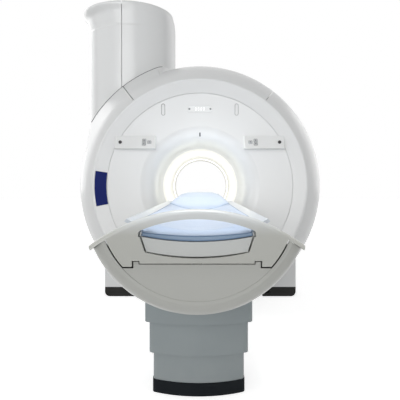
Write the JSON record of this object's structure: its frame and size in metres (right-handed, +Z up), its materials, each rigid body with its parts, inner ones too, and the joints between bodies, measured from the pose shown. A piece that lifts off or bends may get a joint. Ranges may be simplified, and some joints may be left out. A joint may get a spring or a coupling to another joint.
{
  "type": "mri scanner",
  "caption": "Closed-bore MRI scanner: round magnet housing with service tower and dished front, and a patient table with arched end handle and sliding top on a telescopic lift column",
  "frame": {"origin": "on the floor at the centre of the magnet's four floor anchors, under the isocentre", "axes": "+X right and +Y from the table into the bore as seen from the foot end of the table, +Z up; the bore axis is parallel to Y, 1.0 m above the floor"},
  "size_m": [1.9482, 4.13, 2.48],
  "materials": {
    "cover_white": "satin painted moulding",
    "table_grey": "satin warm grey moulding",
    "column_grey": "satin grey paint",
    "black_plinth": "matt black",
    "bore_white": "smooth white laminate",
    "steel_tank": "bare stainless steel",
    "shield_alu": "bare sheet",
    "coil_copper": "resin-bound winding",
    "epoxy": "cast resin",
    "frame_alu": "extruded",
    "foot_black": "matt black paint",
    "window_dark": "smoked window",
    "display_white": "translucent pane",
    "light_band": "opal diffuser, lit",
    "plate_blue": "gloss blue",
    "key_grey": "satin key",
    "button_black": "black button",
    "pad_blue": "wipe-clean coated cloth",
    "top_white": "smooth laminate",
    "belt_black": "toothed belt",
    "motor_grey": "painted housing"
  },
  "bodies": {
    "magnet": {"vacuum_vessel": "steel_tank", "radiation_shield": "shield_alu", "helium_vessel": "steel_tank", "magnet_coils": "coil_copper", "suspension_straps": "epoxy", "gradient_coil": "epoxy", "shim_trays": "steel_tank", "body_coil": "coil_copper", "bore_liner": "bore_white", "light_strips": "light_band", "bore_bridge": "bore_white", "front_dish": "cover_white", "laser_window": "window_dark", "display_window": "display_white", "docking_bay": "cover_white", "ring_top_cover": "cover_white", "ring_left_cover": "cover_white", "ring_right_cover": "cover_white", "side_plate": "plate_blue", "rear_cover": "cover_white", "rear_funnel": "cover_white", "left_side_cover": "cover_white", "right_side_cover": "cover_white", "left_foot": "foot_black", "right_foot": "foot_black", "tower_left_cover": "cover_white", "tower_right_cover": "cover_white", "tower_cap": "cover_white", "service_turret": "steel_tank", "cold_head": "steel_tank", "quench_pipe": "steel_tank", "right_control_panel": "cover_white", "left_control_panel": "cover_white", "table_base": "black_plinth", "column_lower": "column_grey", "lift_cylinder": "steel_tank"},
    "column_middle": {"column_middle": "column_grey"},
    "table": {"column_upper": "column_grey", "lift_ram": "steel_tank", "table_frame": "frame_alu", "table_shell": "table_grey", "end_panel": "table_grey", "handle_frame": "table_grey", "left_deck": "top_white", "right_deck": "top_white", "drive_belt": "belt_black", "drive_motor": "motor_grey"},
    "tabletop": {"tabletop": "top_white", "mattress": "pad_blue", "head_cushion": "pad_blue"},
    "drive_pulley": {"drive_pulley": "frame_alu"},
    "idler_pulley": {"idler_pulley": "frame_alu"},
    "left_key_up": {"left_key_up": "key_grey"},
    "left_key_down": {"left_key_down": "key_grey"},
    "left_key_travel": {"left_key_travel": "key_grey"},
    "left_stop_button": {"left_stop_button": "button_black"},
    "right_key_up": {"right_key_up": "key_grey"},
    "right_key_down": {"right_key_down": "key_grey"},
    "right_key_travel": {"right_key_travel": "key_grey"},
    "right_stop_button": {"right_stop_button": "button_black"}
  },
  "joints": [
    {"name": "table_lift", "type": "slide", "parent": "magnet", "child": "table", "axis": [0, 0, 1], "range_m": [-0.22, 0]},
    {"name": "column_follow", "type": "slide", "parent": "magnet", "child": "column_middle", "axis": [0, 0, 1], "range_m": [-0.11, 0]},
    {"name": "tabletop_slide", "type": "slide", "parent": "table", "child": "tabletop", "axis": [0, 1, 0], "range_m": [0, 1.5]},
    {"name": "drive_pulley_turn", "type": "hinge", "parent": "table", "child": "drive_pulley", "pos_m": [0, -1.06, 0.7], "axis": [1, 0, 0], "range_deg": [-2900, 20]},
    {"name": "idler_pulley_turn", "type": "hinge", "parent": "table", "child": "idler_pulley", "pos_m": [0, -2.9, 0.7], "axis": [1, 0, 0], "range_deg": [-2900, 20]},
    {"name": "left_key_up_press", "type": "slide", "parent": "magnet", "child": "left_key_up", "axis": [0, 0.9415, -0.337], "range_m": [0, 0.0025], "stiffness_N_per_m": 900, "springref_m": -0.001},
    {"name": "left_key_down_press", "type": "slide", "parent": "magnet", "child": "left_key_down", "axis": [0, 0.9415, -0.337], "range_m": [0, 0.0025], "stiffness_N_per_m": 900, "springref_m": -0.001},
    {"name": "left_key_travel_press", "type": "slide", "parent": "magnet", "child": "left_key_travel", "axis": [0, 0.9415, -0.337], "range_m": [0, 0.0025], "stiffness_N_per_m": 900, "springref_m": -0.001},
    {"name": "left_stop_button_press", "type": "slide", "parent": "magnet", "child": "left_stop_button", "axis": [0, 0.9415, -0.337], "range_m": [0, 0.0035], "stiffness_N_per_m": 900, "springref_m": -0.001},
    {"name": "right_key_up_press", "type": "slide", "parent": "magnet", "child": "right_key_up", "axis": [0, 0.9415, -0.337], "range_m": [0, 0.0025], "stiffness_N_per_m": 900, "springref_m": -0.001},
    {"name": "right_key_down_press", "type": "slide", "parent": "magnet", "child": "right_key_down", "axis": [0, 0.9415, -0.337], "range_m": [0, 0.0025], "stiffness_N_per_m": 900, "springref_m": -0.001},
    {"name": "right_key_travel_press", "type": "slide", "parent": "magnet", "child": "right_key_travel", "axis": [0, 0.9415, -0.337], "range_m": [0, 0.0025], "stiffness_N_per_m": 900, "springref_m": -0.001},
    {"name": "right_stop_button_press", "type": "slide", "parent": "magnet", "child": "right_stop_button", "axis": [0, 0.9415, -0.337], "range_m": [0, 0.0035], "stiffness_N_per_m": 900, "springref_m": -0.001}
  ],
  "couplings": [
    {"joint": "column_follow", "follows": "table_lift", "ratio": 0.5},
    {"joint": "drive_pulley_turn", "follows": "tabletop_slide", "rad_per_m": -33.557},
    {"joint": "idler_pulley_turn", "follows": "tabletop_slide", "rad_per_m": -33.557}
  ]
}
